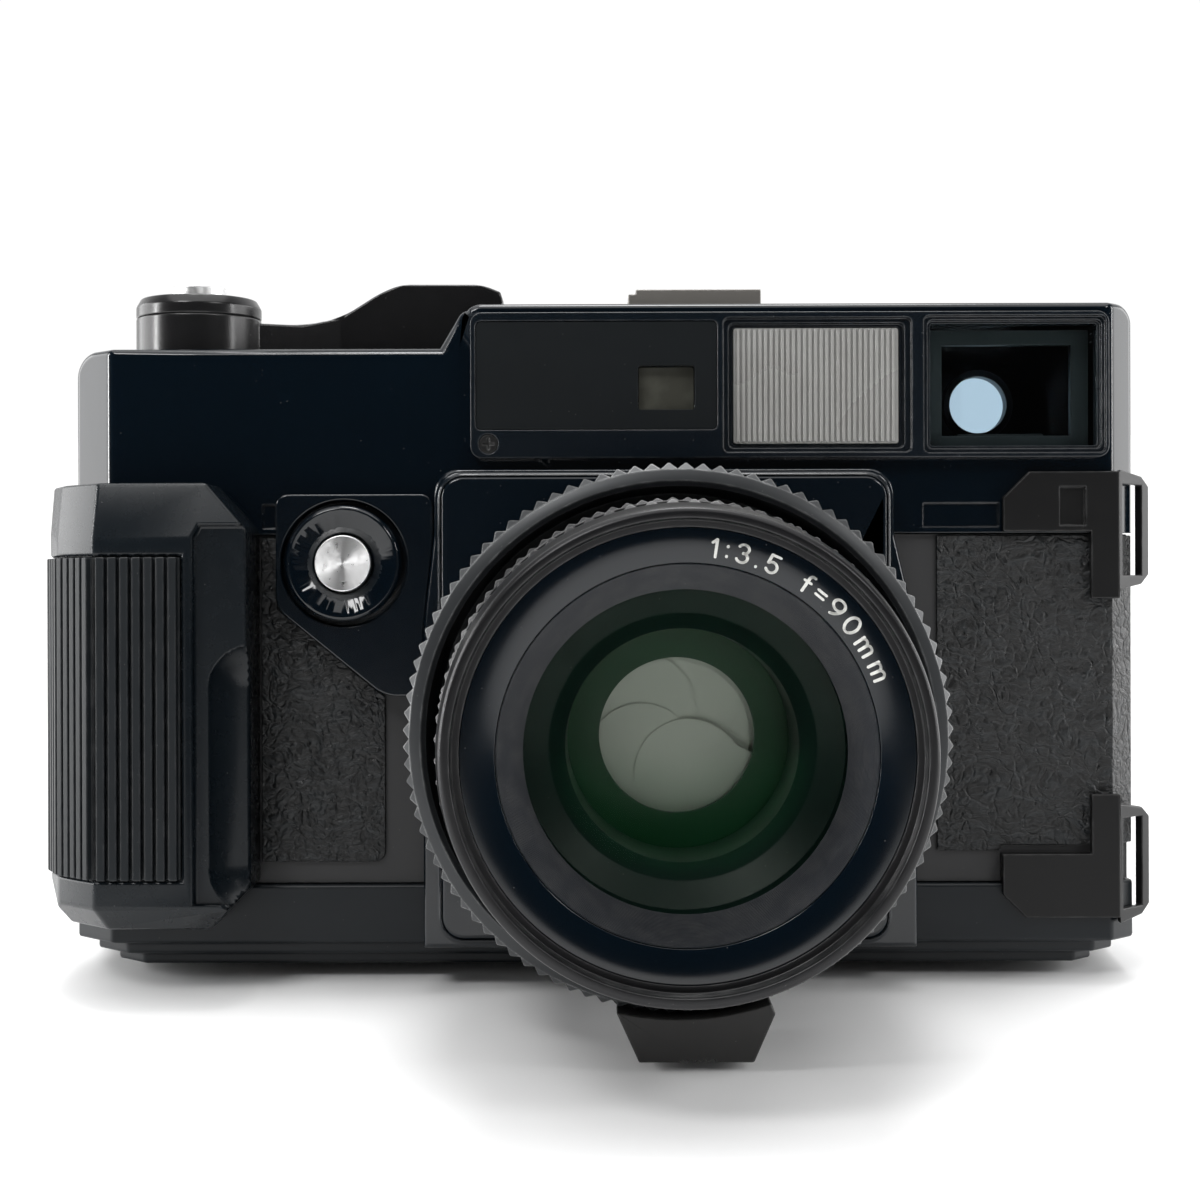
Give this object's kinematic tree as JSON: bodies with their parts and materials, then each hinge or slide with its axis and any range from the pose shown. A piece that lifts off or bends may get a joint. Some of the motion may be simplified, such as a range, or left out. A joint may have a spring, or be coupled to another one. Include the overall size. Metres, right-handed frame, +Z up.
{
  "type": "press camera",
  "caption": "Medium-format rangefinder press camera with fixed leaf-shutter lens, ribbed hand grip, hinged back, advance lever and film bays.",
  "frame": {"origin": "mouth of the tripod socket in the base, straight under the lens axis", "axes": "+X to the viewer's right, +Y to the back of the camera, +Z up; the lens looks along -Y"},
  "size_m": [0.2006, 0.1298, 0.1333],
  "materials": {
    "casting": "black-painted die casting",
    "roller_steel": "ground steel",
    "spool_plastic": "moulded black plastic",
    "knob_black": "moulded black plastic",
    "base_satin": "satin black paint",
    "cover_gloss": "glossy black",
    "surround_gloss": "glossy black",
    "grip_black": "satin moulded black",
    "grip_rubber": "ribbed black rubber",
    "leatherette": "grained black leatherette",
    "bezel_black": "satin black",
    "nameplate_black": "satin black plate with pale format mark",
    "screw_steel": "blackened steel",
    "window_glass": "clear glass",
    "diffuser": "ribbed diffusing acrylic",
    "finder_metal": "matt black",
    "prism_glass": "optical glass",
    "mirror_silver": "front-silvered",
    "eyepiece_black": "moulded black",
    "eyepiece_glass": "clear glass",
    "shoe_metal": "dull grey plate",
    "lug_black": "black paint",
    "tripod_brass": "turned insert",
    "counter_glass": "clear plastic window",
    "dial_white": "printed dial",
    "flange_metal": "black anodised",
    "scale_black": "black anodised with white scale",
    "focus_black": "black anodised knurl",
    "tab_plastic": "moulded black",
    "barrel_black": "black anodised",
    "setting_black": "black anodised knurl",
    "name_black": "black with engraved lettering",
    "baffle_black": "ribbed matt black",
    "cell_black": "matt black",
    "coated_glass": "coated optical glass",
    "shutter_black": "matt black",
    "blade_steel": "thin spring steel",
    "rear_glass": "coated optical glass",
    "lever_black": "satin black",
    "button_chrome": "polished and spun",
    "collar_black": "polished black",
    "door_black": "satin black paint",
    "plate_black": "black anodised",
    "pin_steel": "blackened steel",
    "latch_grey": "satin chrome"
  },
  "bodies": {
    "camera": {"chassis": "casting", "bottom_cover": "base_satin", "top_cover": "cover_gloss", "lens_surround": "surround_gloss", "release_panel": "surround_gloss", "grip": "grip_black", "grip_pad": "grip_rubber", "left_leather": "leatherette", "right_leather": "leatherette", "finder_bezel": "bezel_black", "nameplate": "nameplate_black", "screws": "screw_steel", "patch_window": "window_glass", "finder_window": "window_glass", "frosted_window": "diffuser", "finder_base": "finder_metal", "beam_splitter": "prism_glass", "eyepiece_ring": "eyepiece_black", "eyepiece_glass": "eyepiece_glass", "accessory_shoe": "shoe_metal", "upper_lug": "lug_black", "lower_lug": "lug_black", "tripod_insert": "tripod_brass", "counter_window": "counter_glass", "lens_flange": "flange_metal", "scale_ring": "scale_black", "hinge_pin": "pin_steel"},
    "focus": {"focus_ring": "focus_black", "focus_tab": "tab_plastic"},
    "lens_unit": {"lens_barrel": "barrel_black", "name_ring": "name_black", "baffle": "baffle_black", "front_cell": "cell_black", "front_element": "coated_glass", "shutter_housing": "shutter_black", "rear_cell": "cell_black", "rear_element": "rear_glass"},
    "speed": {"speed_ring": "setting_black"},
    "aperture": {"aperture_ring": "setting_black"},
    "b1": {"blade_1": "blade_steel"},
    "b2": {"blade_2": "blade_steel"},
    "b3": {"blade_3": "blade_steel"},
    "b4": {"blade_4": "blade_steel"},
    "b5": {"blade_5": "blade_steel"},
    "lever": {"advance_lever": "lever_black", "lever_cap": "lever_black"},
    "top_release": {"release_button": "button_chrome"},
    "collar": {"front_collar": "collar_black"},
    "front_release": {"front_button": "button_chrome"},
    "door": {"back_door": "door_black", "door_leather": "leatherette"},
    "plate": {"pressure_plate": "plate_black"},
    "latch": {"door_latch": "latch_grey"},
    "spool": {"takeup_spool": "spool_plastic"},
    "knob_left": {"spool_knob_left": "knob_black"},
    "knob_right": {"spool_knob_right": "knob_black"},
    "guide_left": {"roller_left": "roller_steel"},
    "guide_right": {"roller_right": "roller_steel"},
    "dial": {"counter_dial": "dial_white"},
    "mirror": {"patch_mirror": "mirror_silver"}
  },
  "joints": [
    {"name": "focus_turn", "type": "hinge", "parent": "camera", "child": "focus", "pos_m": [0, -0.045, 0.0445], "axis": [0, -1, 0], "range_deg": [0, 95]},
    {"name": "lens_extension", "type": "slide", "parent": "camera", "child": "lens_unit", "axis": [0, -1, 0], "range_m": [0, 0.0092]},
    {"name": "speed_turn", "type": "hinge", "parent": "lens_unit", "child": "speed", "pos_m": [0, -0.066, 0.0445], "axis": [0, -1, 0], "range_deg": [-60, 60]},
    {"name": "aperture_turn", "type": "hinge", "parent": "lens_unit", "child": "aperture", "pos_m": [0, -0.08, 0.0445], "axis": [0, -1, 0], "range_deg": [0, 70]},
    {"name": "blade_1_swing", "type": "hinge", "parent": "lens_unit", "child": "b1", "pos_m": [0.01221, -0.0455, 0.05906], "axis": [0, -1, 0], "range_deg": [-49, 0]},
    {"name": "blade_2_swing", "type": "hinge", "parent": "lens_unit", "child": "b2", "pos_m": [-0.01007, -0.0455, 0.06061], "axis": [0, -1, 0], "range_deg": [-49, 0]},
    {"name": "blade_3_swing", "type": "hinge", "parent": "lens_unit", "child": "b3", "pos_m": [-0.01844, -0.0455, 0.0399], "axis": [0, -1, 0], "range_deg": [-49, 0]},
    {"name": "blade_4_swing", "type": "hinge", "parent": "lens_unit", "child": "b4", "pos_m": [-0.00133, -0.0455, 0.02555], "axis": [0, -1, 0], "range_deg": [-49, 0]},
    {"name": "blade_5_swing", "type": "hinge", "parent": "lens_unit", "child": "b5", "pos_m": [0.01762, -0.0455, 0.03738], "axis": [0, -1, 0], "range_deg": [-49, 0]},
    {"name": "advance_swing", "type": "hinge", "parent": "camera", "child": "lever", "pos_m": [-0.0884, 0.008, 0.116], "axis": [0, 0, 1], "range_deg": [0, 186], "stiffness_Nm_per_rad": 0.02, "springref_deg": -28.65},
    {"name": "top_release_press", "type": "slide", "parent": "lever", "child": "top_release", "axis": [0, 0, -1], "range_m": [0, 0.002], "stiffness_N_per_m": 800, "springref_m": -0.001},
    {"name": "front_release_press", "type": "slide", "parent": "camera", "child": "front_release", "axis": [0, 1, 0], "range_m": [0, 0.0015], "stiffness_N_per_m": 800, "springref_m": -0.001},
    {"name": "front_lock_turn", "type": "hinge", "parent": "camera", "child": "collar", "pos_m": [-0.0583, -0.0145, 0.073], "axis": [0, -1, 0], "range_deg": [0, 60]},
    {"name": "back_door_swing", "type": "hinge", "parent": "camera", "child": "door", "pos_m": [-0.1045, 0.0242, 0.0465], "axis": [0, 0, 1], "range_deg": [0, 110]},
    {"name": "pressure_plate_give", "type": "slide", "parent": "door", "child": "plate", "axis": [0, 1, 0], "range_m": [0, 0.0012], "stiffness_N_per_m": 1500, "springref_m": -0.001},
    {"name": "latch_slide", "type": "slide", "parent": "camera", "child": "latch", "axis": [0, 0, 1], "range_m": [0, 0.004]},
    {"name": "takeup_turn", "type": "hinge", "parent": "camera", "child": "spool", "pos_m": [-0.062, 0.006, 0.0445], "axis": [0, 0, 1], "continuous": true},
    {"name": "left_stud_pull", "type": "slide", "parent": "camera", "child": "knob_left", "axis": [0, 0, -1], "range_m": [0, 0.006], "stiffness_N_per_m": 300, "springref_m": -0.002},
    {"name": "right_stud_pull", "type": "slide", "parent": "camera", "child": "knob_right", "axis": [0, 0, -1], "range_m": [0, 0.006], "stiffness_N_per_m": 300, "springref_m": -0.002},
    {"name": "left_roller_turn", "type": "hinge", "parent": "camera", "child": "guide_left", "pos_m": [-0.0485, 0.0164, 0.0445], "axis": [0, 0, 1], "continuous": true},
    {"name": "right_roller_turn", "type": "hinge", "parent": "camera", "child": "guide_right", "pos_m": [0.0485, 0.0164, 0.0445], "axis": [0, 0, 1], "continuous": true},
    {"name": "counter_turn", "type": "hinge", "parent": "camera", "child": "dial", "pos_m": [-0.07, 0.007, 0.1], "axis": [0, 0, 1], "range_deg": [0, 300]},
    {"name": "patch_mirror_tilt", "type": "hinge", "parent": "camera", "child": "mirror", "pos_m": [-0.0004, 0.008, 0.104], "axis": [0, 0, 1], "range_deg": [0, 3]}
  ],
  "couplings": [
    {"joint": "lens_extension", "follows": "focus_turn", "m_per_rad": 0.005428},
    {"joint": "patch_mirror_tilt", "follows": "focus_turn", "ratio": 0.029474},
    {"joint": "blade_2_swing", "follows": "blade_1_swing", "ratio": 1},
    {"joint": "blade_3_swing", "follows": "blade_1_swing", "ratio": 1},
    {"joint": "blade_4_swing", "follows": "blade_1_swing", "ratio": 1},
    {"joint": "blade_5_swing", "follows": "blade_1_swing", "ratio": 1}
  ]
}
